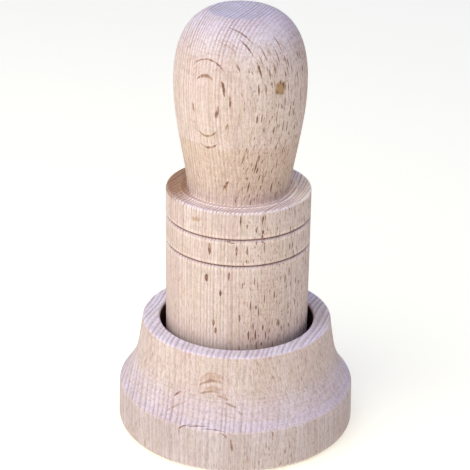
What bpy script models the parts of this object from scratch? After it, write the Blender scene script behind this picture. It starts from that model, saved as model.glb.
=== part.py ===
"""A pestle nutcracker in turned beech.

The nut lies in a deep, round cup. The pestle slides down into the cup and is pressed or struck on its
bulb handle until the shell cracks. Both pieces are solids of revolution about the Z axis, so each one is
an outline of (radius, height) points turned by a Screw modifier.

Units: the sizes below are in millimetres, and the meshes are in metres. The origin is the centre of the
cup's underside, and +Z is up along the pestle.
"""

import math

import bpy
from mathutils import Vector
from mathutils.geometry import interpolate_bezier

# --- Driving dimensions, in millimetres -------------------------------------------------------------

# Pestle: the cylinder.
PESTLE_RADIUS = 25.0
CYLINDER_LENGTH = 77.7
END_ROUND = 1.0
SHOULDER_ROUND = 1.0

# Pestle: the hollow in its end, which centres on the nut, and the flat wall left around it.
END_WALL = 8.0
HOLLOW_DEPTH = 9.0

# Pestle: the two grooves, as drops below the shoulder.
GROOVE_DROPS = (10.0, 19.6)
GROOVE_WIDTH = 1.2
GROOVE_DEPTH = 0.8

# Pestle: the shoulder, dished a little, with a fine ring that the turning tool left.
SHOULDER_WIDTH = 7.2
SHOULDER_DISH = 0.5
RING_INSET = 2.1
RING_WIDTH = 0.5
RING_HEIGHT = 0.4

# Pestle: the bulb handle above the shoulder.
BULB_SWELL = 4.7
BULB_WIDEST_HEIGHT = 36.3
BULB_HEIGHT = 62.0
BULB_FOOT_RISE = 0.5
FACET_RADIUS = 10.6
FACET_DOME = 0.2

# Cup: the bore, with the play that lets the pestle in freely and the gap it keeps at rest.
CUP_HEIGHT = 40.5
FLOOR_THICKNESS = 12.0
PESTLE_PLAY = 2.1
REST_GAP = 0.3
BORE_ROUND = 1.5

# Cup: the dish in the floor that the nut lies on.
SEAT_WALL = 9.0
SEAT_DEPTH = 4.0

# Cup: the rim, and the foot that flares out below it.
RIM_WIDTH = 6.1
RIM_ROUND = 0.8
FOOT_OVERHANG = 8.8
FOOT_BAND_HEIGHT = 16.0
FOOT_BAND_TAPER = 0.4
FOOT_TOP_ROUND = 3.0
FOOT_BOTTOM_ROUND = 3.0
FLARE_END_INSET = 1.0
FLARE_END_RISE = 0.3

# The two curved outlines are Bezier curves. Each handle's place is a share of the height or the width
# that its curve covers.
COLLAR_HANDLE_OUT = 0.24
COLLAR_HANDLE_DOWN = 0.63
FOOT_HANDLE_IN = 0.77
FOOT_HANDLE_UP = 0.4
CROWN_HANDLE_DOWN = 0.18
WIDEST_HANDLE_UP = 0.26
WIDEST_HANDLE_DOWN = 0.33
BULB_FOOT_HANDLE_UP = 0.17

# How finely round and curved stretches are divided.
TURN_STEPS = 48
ARC_STEP_DEGREES = 30.0
CURVE_POINTS = 8
CROWN_POINTS = 10
FACET_POINTS = 3

# Bare beech, as linear colours.
CUP_COLOUR = (0.70, 0.56, 0.49)
PESTLE_COLOUR = (0.71, 0.57, 0.48)
BEECH_ROUGHNESS = 0.7

# --- Sizes that follow from them ---------------------------------------------------------------------

BORE_RADIUS = PESTLE_RADIUS + PESTLE_PLAY
RIM_RADIUS = BORE_RADIUS + RIM_WIDTH
FOOT_RADIUS = RIM_RADIUS + FOOT_OVERHANG
PESTLE_END_HEIGHT = FLOOR_THICKNESS + REST_GAP
SHOULDER_HEIGHT = PESTLE_END_HEIGHT + CYLINDER_LENGTH
NECK_RADIUS = PESTLE_RADIUS - SHOULDER_WIDTH
RING_RADIUS = NECK_RADIUS + RING_INSET
BULB_RADIUS = NECK_RADIUS + BULB_SWELL

METRES_PER_MM = 0.001
MERGE_DISTANCE_M = 0.00001


# --- Outlines: lists of (radius, height) points, in millimetres --------------------------------------


def rounded_corner(before, corner, after, radius):
    """Points of an arc of the given radius, tangent to both straight runs that meet at the corner."""
    before, corner, after = Vector(before), Vector(corner), Vector(after)
    back = (before - corner).normalized()
    ahead = (after - corner).normalized()
    half_angle = back.angle(ahead) / 2
    centre = corner + (back + ahead).normalized() * (radius / math.sin(half_angle))
    start = corner + back * (radius / math.tan(half_angle)) - centre
    end = corner + ahead * (radius / math.tan(half_angle)) - centre
    turn = start.angle_signed(end)
    steps = max(2, math.ceil(abs(math.degrees(turn)) / ARC_STEP_DEGREES))
    points = []
    for step in range(steps + 1):
        angle = -turn * step / steps
        across = math.cos(angle) * start.x - math.sin(angle) * start.y
        up = math.sin(angle) * start.x + math.cos(angle) * start.y
        points.append((centre.x + across, centre.y + up))
    return points


def smooth_curve(start, start_handle, end_handle, end, points=CURVE_POINTS):
    """Points of a Bezier curve between two ends, both included."""
    knots = [Vector((radius, height, 0)) for radius, height in (start, start_handle, end_handle, end)]
    return [(point.x, point.y) for point in interpolate_bezier(*knots, points)]


def dish(radius, edge_height, middle_height, points=CURVE_POINTS):
    """Points of a shallow spherical dish or dome, from its edge to its middle on the axis."""
    rise = middle_height - edge_height
    sphere_radius = (radius**2 + rise**2) / (2 * abs(rise))
    half_angle = math.asin(radius / sphere_radius)
    outline = []
    for step in range(points):
        angle = half_angle * (1 - step / (points - 1))
        drop = sphere_radius * (1 - math.cos(angle))
        outline.append((sphere_radius * math.sin(angle), middle_height - math.copysign(drop, rise)))
    outline[-1] = (0.0, middle_height)
    return outline


def groove(height):
    """The three points of a V-groove in the cylinder, from its upper edge to its lower edge."""
    return [
        (PESTLE_RADIUS, height + GROOVE_WIDTH / 2),
        (PESTLE_RADIUS - GROOVE_DEPTH, height),
        (PESTLE_RADIUS, height - GROOVE_WIDTH / 2),
    ]


def cup_outline():
    """From the middle of the cup's floor, up the bore, over the rim and down the foot to the underside."""
    seat_radius = BORE_RADIUS - SEAT_WALL
    seat = dish(seat_radius, FLOOR_THICKNESS, FLOOR_THICKNESS - SEAT_DEPTH)
    floor_edge = (BORE_RADIUS, FLOOR_THICKNESS)
    mouth = (BORE_RADIUS, CUP_HEIGHT)
    rim = (RIM_RADIUS, CUP_HEIGHT)
    foot_top = (FOOT_RADIUS - FOOT_BAND_TAPER, FOOT_BAND_HEIGHT)
    foot_bottom = (FOOT_RADIUS, 0.0)
    collar_height = CUP_HEIGHT - FOOT_BAND_HEIGHT
    collar_handle = (
        RIM_RADIUS + COLLAR_HANDLE_OUT * FOOT_OVERHANG,
        CUP_HEIGHT - COLLAR_HANDLE_DOWN * collar_height,
    )
    foot_handle = (
        FOOT_RADIUS - FOOT_HANDLE_IN * FOOT_OVERHANG,
        FOOT_BAND_HEIGHT + FOOT_HANDLE_UP * collar_height,
    )
    flare_end = (foot_top[0] - FLARE_END_INSET, FOOT_BAND_HEIGHT + FLARE_END_RISE)
    flare = smooth_curve(rim, collar_handle, foot_handle, flare_end)
    return [
        *reversed(seat),
        *rounded_corner(seat[0], floor_edge, mouth, BORE_ROUND),
        *rounded_corner(floor_edge, mouth, rim, RIM_ROUND),
        *rounded_corner(mouth, rim, flare[1], RIM_ROUND),
        *flare[1:-1],
        *rounded_corner(flare[-2], foot_top, foot_bottom, FOOT_TOP_ROUND),
        *rounded_corner(foot_top, foot_bottom, (0.0, 0.0), FOOT_BOTTOM_ROUND),
        (0.0, 0.0),
    ]


def bulb_outline():
    """From the middle of the handle's top facet down to the bulb's foot on the shoulder."""
    top = SHOULDER_HEIGHT + BULB_HEIGHT
    widest = (BULB_RADIUS, SHOULDER_HEIGHT + BULB_WIDEST_HEIGHT)
    facet_edge = (FACET_RADIUS, top)
    foot = (NECK_RADIUS, SHOULDER_HEIGHT + BULB_FOOT_RISE)
    crown_height = BULB_HEIGHT - BULB_WIDEST_HEIGHT
    crown_handle = (BULB_RADIUS, top - CROWN_HANDLE_DOWN * crown_height)
    upper_handle = (BULB_RADIUS, widest[1] + WIDEST_HANDLE_UP * crown_height)
    lower_handle = (BULB_RADIUS, widest[1] - WIDEST_HANDLE_DOWN * BULB_WIDEST_HEIGHT)
    foot_handle = (NECK_RADIUS, foot[1] + BULB_FOOT_HANDLE_UP * BULB_WIDEST_HEIGHT)
    crown = smooth_curve(facet_edge, crown_handle, upper_handle, widest, CROWN_POINTS)
    swell = smooth_curve(widest, lower_handle, foot_handle, foot)
    facet = dish(FACET_RADIUS, top, top + FACET_DOME, FACET_POINTS)
    return [*reversed(facet), *crown[1:], *swell[1:]]


def shoulder_outline():
    """From the bulb's foot across the dished shoulder, with its fine ring, to the cylinder's edge."""
    dished = SHOULDER_HEIGHT - SHOULDER_DISH
    corner = (PESTLE_RADIUS, SHOULDER_HEIGHT)
    ring_outer = (RING_RADIUS + RING_WIDTH, dished)
    below = (PESTLE_RADIUS, SHOULDER_HEIGHT - GROOVE_DROPS[0])
    return [
        (NECK_RADIUS, dished),
        (RING_RADIUS, dished),
        (RING_RADIUS + RING_WIDTH / 2, dished + RING_HEIGHT),
        ring_outer,
        *rounded_corner(ring_outer, corner, below, SHOULDER_ROUND),
    ]


def pestle_outline():
    """From the top of the handle down the outer side to the middle of the hollowed end."""
    end_corner = (PESTLE_RADIUS, PESTLE_END_HEIGHT)
    lowest_groove = (PESTLE_RADIUS, SHOULDER_HEIGHT - max(GROOVE_DROPS))
    grooves = [point for drop in sorted(GROOVE_DROPS) for point in groove(SHOULDER_HEIGHT - drop)]
    hollow = dish(PESTLE_RADIUS - END_WALL, PESTLE_END_HEIGHT, PESTLE_END_HEIGHT + HOLLOW_DEPTH)
    return [
        *bulb_outline(),
        *shoulder_outline(),
        *grooves,
        *rounded_corner(lowest_groove, end_corner, hollow[0], END_ROUND),
        *hollow,
    ]


# --- Objects -----------------------------------------------------------------------------------------


def clear_scene():
    """Remove every object that the scene starts with."""
    for scene_object in list(bpy.data.objects):
        bpy.data.objects.remove(scene_object, do_unlink=True)


def beech(name, colour):
    """Bare beech: pale, dull and slightly warm."""
    material = bpy.data.materials.new(name)
    material.use_nodes = True
    shader = material.node_tree.nodes["Principled BSDF"]
    shader.inputs["Base Color"].default_value = (*colour, 1.0)
    shader.inputs["Roughness"].default_value = BEECH_ROUGHNESS
    shader.inputs["Metallic"].default_value = 0.0
    return material


def turned_piece(name, outline, material, parent):
    """An object whose outline is turned round the Z axis by a Screw modifier."""
    mesh = bpy.data.meshes.new(name)
    points = [(radius * METRES_PER_MM, 0.0, height * METRES_PER_MM) for radius, height in outline]
    edges = [(index, index + 1) for index in range(len(points) - 1)]
    mesh.from_pydata(points, edges, [])
    mesh.materials.append(material)
    piece = bpy.data.objects.new(name, mesh)
    piece.parent = parent
    bpy.context.collection.objects.link(piece)
    screw = piece.modifiers.new("Turn", "SCREW")
    screw.axis = "Z"
    screw.steps = TURN_STEPS
    screw.render_steps = TURN_STEPS
    screw.use_merge_vertices = True
    screw.merge_threshold = MERGE_DISTANCE_M
    screw.use_smooth_shade = True
    return piece


def joint_axis(name):
    """An empty on the Z axis, which the pestle slides along."""
    axis = bpy.data.objects.new(name, None)
    bpy.context.collection.objects.link(axis)
    return axis


def main():
    clear_scene()
    turned_piece("base_cup", cup_outline(), beech("beech_cup", CUP_COLOUR), None)
    slide = joint_axis("pestle_lift_axis")
    turned_piece("pestle", pestle_outline(), beech("beech_pestle", PESTLE_COLOUR), slide)


main()
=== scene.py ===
"""The looks of a pestle nutcracker in bare turned beech.

Both pieces are turned from a solid blank, so each one is an outline swept round the Z axis by a Geometry
Nodes lathe, and its finish is a solid texture: growth rings, fibres and ray flakes run through the whole
blank and show on the surface wherever the outline cuts them.

Outlines and wood are in millimetres. Meshes are in metres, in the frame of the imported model.
"""

import logging
import math
from collections.abc import Sequence
from dataclasses import dataclass, field
from enum import Enum
from typing import ClassVar

import bpy
from mathutils import Matrix, Vector
from mathutils.geometry import interpolate_bezier


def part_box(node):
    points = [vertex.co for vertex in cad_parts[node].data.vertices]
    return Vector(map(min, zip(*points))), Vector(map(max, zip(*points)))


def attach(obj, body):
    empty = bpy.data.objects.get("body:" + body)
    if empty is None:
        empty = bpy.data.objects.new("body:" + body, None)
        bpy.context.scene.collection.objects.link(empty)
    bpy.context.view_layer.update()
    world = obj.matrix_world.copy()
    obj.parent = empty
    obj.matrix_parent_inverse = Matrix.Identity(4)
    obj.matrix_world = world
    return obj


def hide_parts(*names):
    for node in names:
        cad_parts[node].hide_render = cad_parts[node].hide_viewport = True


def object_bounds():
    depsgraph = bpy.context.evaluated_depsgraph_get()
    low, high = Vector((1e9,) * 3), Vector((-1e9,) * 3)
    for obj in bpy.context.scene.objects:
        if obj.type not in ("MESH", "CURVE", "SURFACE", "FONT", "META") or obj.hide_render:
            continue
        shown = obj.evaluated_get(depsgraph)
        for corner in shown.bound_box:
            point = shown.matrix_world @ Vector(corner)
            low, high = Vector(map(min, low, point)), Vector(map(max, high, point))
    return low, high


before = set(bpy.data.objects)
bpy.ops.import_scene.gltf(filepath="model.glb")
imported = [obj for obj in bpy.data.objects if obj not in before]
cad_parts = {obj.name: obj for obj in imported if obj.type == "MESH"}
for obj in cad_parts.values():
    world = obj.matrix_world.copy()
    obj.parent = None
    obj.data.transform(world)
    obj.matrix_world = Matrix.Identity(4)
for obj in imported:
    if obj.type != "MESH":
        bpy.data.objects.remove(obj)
CAD_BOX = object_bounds()

MM_PER_METRE = 1000.0
WELD_METRES = 1e-7
PLATE_EDGE = (-0.12, 0.35)

log = logging.getLogger("nutcracker")

Point = tuple[float, float]
Span = tuple[float, float]
Triple = tuple[float, float, float]
Socket = bpy.types.NodeSocket
Feed = Socket | float | tuple


class Sum(Enum):
    """Operations of the Math and Vector Math nodes, by the name that a maker would give them."""

    ADD = "ADD"
    TAKE = "SUBTRACT"
    TIMES = "MULTIPLY"
    OVER = "DIVIDE"
    POWER = "POWER"
    SIZE = "ABSOLUTE"
    FLOOR = "FLOOR"
    PART = "FRACT"
    MOST = "MAXIMUM"
    COSINE = "COSINE"
    SINE = "SINE"


class Blend(Enum):
    """How one colour is laid over another."""

    COVER = "MIX"
    STAIN = "MULTIPLY"


@dataclass(frozen=True)
class Grain:
    """A solid noise: how many features it has to a unit along each axis, and its finer layers."""

    pitch: Triple
    detail: float = 2.0
    roughness: float = 0.5


class Graph:
    """A short way to write a node tree: each method adds nodes and returns their output."""

    def __init__(self, tree: bpy.types.NodeTree) -> None:
        """Keep the tree that the nodes go into."""
        self.tree = tree

    def node(self, kind: str, **settings: object) -> bpy.types.Node:
        """Add a node.

        Args:
            kind: Blender's identifier of the node type.
            **settings: Properties to set on it.

        Returns:
            The new node.
        """
        made = self.tree.nodes.new(kind)
        for name, value in settings.items():
            setattr(made, name, value)
        return made

    def feed(self, socket: Socket, value: Feed) -> None:
        """Link an output to a socket, or set the socket to a constant."""
        if isinstance(value, Socket):
            self.tree.links.new(value, socket)
        else:
            socket.default_value = value

    def fed(self, kind: str, feeds: dict[str, Feed], **settings: object) -> bpy.types.Node:
        """Add a node and feed its inputs.

        Args:
            kind: Blender's identifier of the node type.
            feeds: What goes into each input, by the input's name.
            **settings: Properties to set on it first.

        Returns:
            The new node.
        """
        made = self.node(kind, **settings)
        for name, value in feeds.items():
            self.feed(made.inputs[name], value)
        return made

    def sum(self, operation: Sum, first: Feed, second: Feed = 0.0) -> Socket:
        """Work on one or two numbers.

        Args:
            operation: What to do with them.
            first: The first number.
            second: The second number, where the operation takes one.

        Returns:
            The result.
        """
        made = self.node("ShaderNodeMath", operation=operation.value)
        self.feed(made.inputs[0], first)
        self.feed(made.inputs[1], second)
        return made.outputs[0]

    def vector_sum(self, operation: Sum, first: Feed, second: Feed) -> Socket:
        """Work on two vectors, part by part.

        Args:
            operation: What to do with them.
            first: The first vector.
            second: The second vector.

        Returns:
            The resulting vector.
        """
        made = self.node("ShaderNodeVectorMath", operation=operation.value)
        self.feed(made.inputs[0], first)
        self.feed(made.inputs[1], second)
        return made.outputs["Vector"]

    def length(self, vector: Feed) -> Socket:
        """The length of a vector."""
        made = self.node("ShaderNodeVectorMath", operation="LENGTH")
        self.feed(made.inputs[0], vector)
        return made.outputs["Value"]

    def along(self, vector: Feed, direction: Triple) -> Socket:
        """The sum of a vector's parts, each times the direction's part."""
        made = self.node("ShaderNodeVectorMath", operation="DOT_PRODUCT")
        self.feed(made.inputs[0], vector)
        self.feed(made.inputs[1], direction)
        return made.outputs["Value"]

    def parts(self, vector: Feed) -> tuple[Socket, ...]:
        """The X, Y and Z of a vector."""
        made = self.node("ShaderNodeSeparateXYZ")
        self.feed(made.inputs[0], vector)
        return tuple(made.outputs)

    def vector(self, x: Feed, y: Feed, z: Feed) -> Socket:
        """A vector from its X, Y and Z."""
        made = self.node("ShaderNodeCombineXYZ")
        for socket, value in zip(made.inputs, (x, y, z)):
            self.feed(socket, value)
        return made.outputs[0]

    def product(self, first: Feed, *others: Feed) -> Socket:
        """Numbers multiplied together."""
        for other in others:
            first = self.sum(Sum.TIMES, first, other)
        return first

    def weighed(self, *shares: tuple[Feed, float]) -> Socket:
        """The sum of two numbers, each times its weight."""
        return self.sum(Sum.ADD, *(self.product(number, weight) for number, weight in shares))

    def from_axis(self, place: Feed) -> tuple[Socket, Socket]:
        """The distance of a place from the Z axis, and its height."""
        x, y, height = self.parts(place)
        return self.length(self.vector(x, y, 0.0)), height

    def band(self, value: Feed, low: Feed, high: Feed, start: float = 0.0, end: float = 1.0) -> Socket:
        """A smooth step from one value to another.

        Args:
            value: The number that drives the step.
            low: Where the step starts.
            high: Where it ends.
            start: The result before the step.
            end: The result after it.

        Returns:
            The stepped number.
        """
        made = self.node("ShaderNodeMapRange", interpolation_type="SMOOTHSTEP")
        for socket, number in zip(made.inputs, (value, low, high, start, end)):
            self.feed(socket, number)
        return made.outputs[0]

    def noise(self, place: Feed, grain: Grain) -> bpy.types.Node:
        """Solid noise.

        Args:
            place: Where it is looked up.
            grain: How fine it is.

        Returns:
            The noise node, whose outputs are a number and a colour.
        """
        feeds = {
            "Vector": self.vector_sum(Sum.TIMES, place, grain.pitch),
            "Scale": 1.0,
            "Detail": grain.detail,
            "Roughness": grain.roughness,
        }
        return self.fed("ShaderNodeTexNoise", feeds)

    def patches(self, place: Feed, grain: Grain, low: float, high: float, most: float = 1.0) -> Socket:
        """Soft patches, where solid noise passes from one level to another.

        Args:
            place: Where the noise is looked up.
            grain: How fine it is.
            low: The level at which a patch starts.
            high: The level at which it is full.
            most: The result where it is full.

        Returns:
            A number from 0 to the most.
        """
        return self.band(self.noise(place, grain).outputs[0], low, high, 0.0, most)

    def colour(self, amount: Feed, first: Feed, second: Triple, blend: Blend) -> Socket:
        """Lay a plain colour over another.

        Args:
            amount: How much of the second shows, from 0 to 1.
            first: The colour underneath.
            second: The plain colour on top.
            blend: How it is laid.

        Returns:
            The mixed colour.
        """
        made = self.node("ShaderNodeMix", data_type="RGBA", blend_type=blend.value)
        self.feed(made.inputs[0], amount)
        self.feed(made.inputs[6], first)
        self.feed(made.inputs[7], (*second, 1.0))
        return made.outputs[2]


@dataclass(frozen=True)
class RayFlake:
    """One large ray: a thin upright plate in the wood that shows as an arc where the surface cuts it.

    Its place is in wood millimetres: across the rings, across the rays and along the fibres.
    """

    place: Triple
    half_size: Triple
    strength: float = 1.0

    def shown(self, graph: Graph, shared: dict[str, Socket]) -> Socket:
        """Put the ray into a material.

        Args:
            graph: The material's graph.
            shared: The plate group's inputs that are the same for every ray.

        Returns:
            How strongly the ray shows, from 0 to 1.
        """
        own = {"Place": self.place, "Half Size": self.half_size, "Strength": self.strength}
        return graph.fed("ShaderNodeGroup", shared | own, node_tree=ray_plate_group()).outputs[0]


@dataclass(frozen=True)
class StainOrPaintedLight:
    """A small patch of another tone, used for knots and other marks in the wood and for painted light and
    shade. Place and half size are in piece millimetres.
    """

    place: Triple
    half_size: Triple
    tone: Triple
    softness: float = 0.4
    raggedness: float = 0.4


@dataclass(frozen=True)
class PaintedLightLine:
    """A line of painted light, a highlight where its tone is above one and shade where it is below, that
    runs round the piece where its outline has a corner or a groove.
    """

    radius: float
    height: float
    reach: float
    tone: Triple


@dataclass(frozen=True)
class Zone:
    """A stretch of the piece's height that has another tone, all round or only inside a radius; used for
    wood tones and for painted light and shade.
    """

    bottom: float
    top: float
    edge: float
    tone: Triple
    within: float = 1000.0


@dataclass(frozen=True)
class FleckField:
    """Small rays, scattered as spindle-shaped flecks through the whole blank.

    Sizes are in wood millimetres: across the rings, across the rays and along the fibres.
    """

    cell: Triple
    half_thickness: tuple[float, float]
    half_height: tuple[float, float]
    share: float
    softness: float
    strength: float
    seed: float


@dataclass(frozen=True)
class BeechFinish:
    """Bare, sanded beech, with some painted light and shade. Every pattern is solid, so it runs through the
    piece as wood does.

    A span is the pair of values between which something fades in. A grain counts features to a
    millimetre across the rings, across the rays and along the fibres, or out from the axis and up it.
    """

    name: str
    ray_turn_degrees: float
    ring_width: float
    pith_distance: float
    seed: float
    quiet_below: float
    ring_share_on_sides: float
    ring_share_on_ends: float
    flakes: tuple[RayFlake, ...] = ()
    stains_and_painted_light: tuple[StainOrPaintedLight, ...] = ()
    painted_light_lines: tuple[PaintedLightLine, ...] = ()
    zones: tuple[Zone, ...] = ()
    fields: tuple[FleckField, ...] = (
        FleckField((9.0, 1.6, 4.6), (0.10, 0.20), (0.8, 2.1), 0.66, 0.06, 1.0, 3.0),
        FleckField((4.4, 0.95, 2.5), (0.06, 0.12), (0.3, 1.1), 0.56, 0.05, 0.9, 17.0),
        FleckField((2.4, 0.6, 1.5), (0.04, 0.09), (0.2, 0.6), 0.75, 0.05, 0.6, 29.0),
    )
    cream: Triple = (0.90, 0.75, 0.68)
    rose: Triple = (0.84, 0.67, 0.60)
    straw: Triple = (0.82, 0.675, 0.56)
    ring_tone: Triple = (0.60, 0.53, 0.53)
    fibre_tone: Triple = (0.63, 0.57, 0.53)
    faint_fleck_tone: Triple = (0.84, 0.72, 0.62)
    fleck_tone: Triple = (0.36, 0.27, 0.25)
    scuff_tone: Triple = (0.94, 0.93, 0.92)
    # Painted sky light: sloped faces are made paler and bluer, as light from above makes them.
    slope_painted_sky: Triple = (1.07, 1.15, 1.27)
    # End faces: end grain a little darker by default; where a finish lifts this tone above one, it is
    # painted sky light.
    end_grain_tone_and_painted_sky: Triple = (0.97, 0.95, 0.95)
    slope_span: Span = (0.15, 0.7)
    end_span: Span = (0.88, 0.99)
    faint_fleck_span: Span = (0.0, 0.5)
    fleck_span: Span = (0.3, 1.0)
    plain_span: Span = (0.05, 0.7)
    streak_span: Span = (0.42, 0.68)
    thin_span: Span = (0.80, 1.0)
    lively_reach: Span = (-8.0, 6.0)
    ring_strength: Span = (0.55, 1.0)
    ring_rise: Span = (0.3, 0.85)
    ring_fall: Span = (0.88, 1.0)
    rosy_span: Span = (0.38, 0.64)
    straw_span: Span = (0.45, 0.72)
    torn_span: Span = (0.3, 0.7)
    scuff_span: Span = (0.35, 0.7)
    uneven_span: Span = (0.3, 0.7)
    uneven_width: Span = (0.75, 1.2)
    worn_span: Span = (0.34, 0.56)
    bend_grain: Grain = Grain((0.03, 0.03, 0.012), detail=1.0)
    pace_grain: Grain = Grain((0.16, 1.0, 0.0), detail=1.0)
    vessel_grain: Grain = Grain((1.5, 1.5, 0.03))
    fibre_grain: Grain = Grain((4.0, 4.0, 0.5), detail=3.0, roughness=0.6)
    ragged_grain: Grain = Grain((0.9, 0.9, 0.9))
    worn_grain: Grain = Grain((0.6, 0.3, 0.6))
    rosy_grain: Grain = Grain((0.09, 0.09, 0.02))
    straw_grain: Grain = Grain((0.35, 0.35, 0.09), detail=3.0)
    torn_grain: Grain = Grain((1.3, 1.3, 0.9), detail=3.0)
    grit_grain: Grain = Grain((7.0, 7.0, 1.4))
    scuff_grain: Grain = Grain((1.6, 1.6, 0.0))
    sanding_grain: Grain = Grain((3.0, 3.0, 0.0), detail=3.0)
    bend: Triple = (5.0, 2.4, 0.0)
    vessel_share: float = 0.36
    least_rings: float = 0.25
    least_lively: float = 0.35
    least_thin: float = 0.12
    least_worn: float = 0.6
    most_straw: float = 0.75
    pace_swing: float = 2.0
    fleck_fade_power: float = 0.4
    fleck_loss_on_slopes: float = 0.75
    gloss: float = 0.06
    roughness: Span = (0.58, 0.72)
    fleck_polish: float = 0.12
    sanding_height: float = 0.5
    grit_height: float = 0.7
    fibre_hollow: float = 0.45
    fleck_hollow: float = 0.8
    bump_strength: float = 0.55
    bump_metres: float = 0.00009

    def material(self) -> bpy.types.Material:
        """Build the finish as a material.

        Returns:
            A Principled material whose colour, roughness and bump follow the wood.
        """
        made = bpy.data.materials.new(self.name)
        made.use_nodes = True
        made.node_tree.nodes["Principled BSDF"].inputs["Specular IOR Level"].default_value = self.gloss
        BeechGraph(made.node_tree, self).dress(made.node_tree.nodes["Principled BSDF"])
        return made


class BeechGraph(Graph):
    """The node tree of one beech finish, which works in millimetres on the piece and in the wood."""

    def __init__(self, tree: bpy.types.NodeTree, finish: BeechFinish) -> None:
        """Find out where a point lies in the piece and in the wood, and which way the surface faces.

        Args:
            tree: The material's node tree.
            finish: The finish that it shows.
        """
        super().__init__(tree)
        self.finish = finish
        coordinates = self.node("ShaderNodeTexCoord").outputs
        self.piece = self.vector_sum(Sum.TIMES, coordinates["Object"], (MM_PER_METRE,) * 3)
        self.straight = self._turned_to_grain(self.piece)
        self.wood = self._wandering()
        facing = self.parts(self._turned_to_grain(coordinates["Normal"]))
        self.across_rings, self.across_rays, up = facing
        self.slope = self.band(self.sum(Sum.SIZE, up), *finish.slope_span)
        self.end = self.band(self.sum(Sum.SIZE, up), *finish.end_span)
        self.fibres = self._fibres()
        self.flecks = self._flecks()

    def dress(self, shader: bpy.types.Node) -> None:
        """Feed the shader's colour, roughness and normal.

        Args:
            shader: The material's Principled shader.
        """
        finish = self.finish
        layers = (
            # Painted sky light: the slope layer makes sloped faces paler and bluer.
            (self.slope, finish.slope_painted_sky),
            # End grain tone, which is painted sky light where it is above one.
            (self.end, finish.end_grain_tone_and_painted_sky),
            (self.product(self._rings(), self._ring_share()), finish.ring_tone),
            (self.fibres, finish.fibre_tone),
            (self.band(self.flecks, *finish.faint_fleck_span), finish.faint_fleck_tone),
            (self.band(self.flecks, *finish.fleck_span), finish.fleck_tone),
        )
        colour = self._body_colour()
        for amount, tone in layers:
            colour = self.colour(amount, colour, tone, Blend.STAIN)
        self.feed(shader.inputs["Base Color"], self._with_zones_and_painted_lines(self._with_tone_patches(colour)))
        rough = self.band(self.fibres, 0.0, 1.0, *finish.roughness)
        polish = self.product(self.flecks, finish.fleck_polish)
        self.feed(shader.inputs["Roughness"], self.sum(Sum.TAKE, rough, polish))
        self.feed(shader.inputs["Normal"], self._relief())

    def _turned_to_grain(self, vector: Feed) -> Socket:
        """Turn a vector about the axis, so that its X crosses the rings and its Y crosses the rays."""
        angles = (0.0, 0.0, math.radians(self.finish.ray_turn_degrees))
        turned = {"Vector": vector, "Rotation": angles}
        return self.fed("ShaderNodeMapping", turned, vector_type="POINT").outputs[0]

    def _wandering(self) -> Socket:
        """Bend the grain a little, as it bends in a tree.

        Returns:
            The place in wood millimetres.
        """
        seed = self.finish.seed
        shift = self.vector_sum(Sum.ADD, self.straight, (seed, seed * 2.3, seed * 3.1))
        wander = self.noise(shift, self.finish.bend_grain).outputs["Color"]
        centred = self.vector_sum(Sum.TAKE, wander, (0.5, 0.5, 0.5))
        return self.vector_sum(Sum.ADD, self.straight, self.vector_sum(Sum.TIMES, centred, self.finish.bend))

    def _fanned(self, wood: Feed) -> Socket:
        """Fan the rays out from the pith: each ray keeps one Y all along it."""
        across, sideways, up = self.parts(wood)
        from_pith = self.sum(Sum.ADD, across, self.finish.pith_distance)
        share = self.sum(Sum.OVER, self.finish.pith_distance, from_pith)
        return self.vector(across, self.product(sideways, share), up)

    def _rings(self) -> Socket:
        """Growth rings: each one darkens slowly and ends at once, and no two are alike.

        Returns:
            How dark the ring is, from 0 to 1.
        """
        across, sideways, _ = self.parts(self.wood)
        bow = self.sum(Sum.OVER, self.sum(Sum.POWER, sideways, 2.0), 2 * self.finish.pith_distance)
        radius = self.sum(Sum.ADD, across, bow)
        years = self.noise(self.vector(radius, self.finish.seed, 0.0), self.finish.pace_grain).outputs[0]
        pace = self.product(years, self.finish.pace_swing)
        count = self.sum(Sum.ADD, self.sum(Sum.OVER, radius, self.finish.ring_width), pace)
        phase = self.sum(Sum.PART, count)
        chance = self.node("ShaderNodeTexWhiteNoise", noise_dimensions="1D")
        self.feed(chance.inputs["W"], self.sum(Sum.FLOOR, count))
        strength = self.band(chance.outputs["Value"], 0.0, 1.0, *self.finish.ring_strength)
        rise = self.band(phase, *self.finish.ring_rise)
        fall = self.band(phase, *self.finish.ring_fall, 1.0, 0.0)
        return self.product(rise, fall, strength)

    def _ring_share(self) -> Socket:
        """How much of the rings shows: most on slopes and ends, least on the side away from the pith.

        Returns:
            The share, from 0 to 1.
        """
        finish = self.finish
        plain = self.band(self.across_rings, *finish.plain_span, 1.0, finish.least_rings)
        leaning = self.band(self.slope, 0.0, 1.0, finish.ring_share_on_sides, finish.ring_share_on_ends)
        return self.product(leaning, plain)

    def _fibres(self) -> Socket:
        """Fine upright streaks of vessels and fibres, which are dots on end grain.

        Returns:
            How dark the streak is, from 0 to 1.
        """
        share = self.finish.vessel_share
        vessels = self.patches(self.wood, self.finish.vessel_grain, *self.finish.streak_span)
        fibres = self.patches(self.wood, self.finish.fibre_grain, *self.finish.streak_span)
        return self.weighed((vessels, share), (fibres, 1.0 - share))

    def _small_flecks(self) -> Socket:
        """The scattered rays, which are palest on slopes and where the surface lies along them.

        Returns:
            How strongly a ray shows, from 0 to 1.
        """
        finish = self.finish
        rays = self._fanned(self.wood)
        shown: Feed = 0.0
        for scatter in finish.fields:
            shown = self.sum(Sum.MOST, shown, self._field(rays, scatter))
        across, _, _ = self.parts(self.straight)
        start, end = (finish.quiet_below + reach for reach in finish.lively_reach)
        lively = self.band(across, start, end, finish.least_lively, 1.0)
        thin = self.band(self.sum(Sum.SIZE, self.across_rays), *finish.thin_span, 1.0, finish.least_thin)
        upright = self.sum(Sum.TAKE, 1.0, self.product(self.slope, finish.fleck_loss_on_slopes))
        return self.product(shown, self.product(lively, thin, upright))

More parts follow.
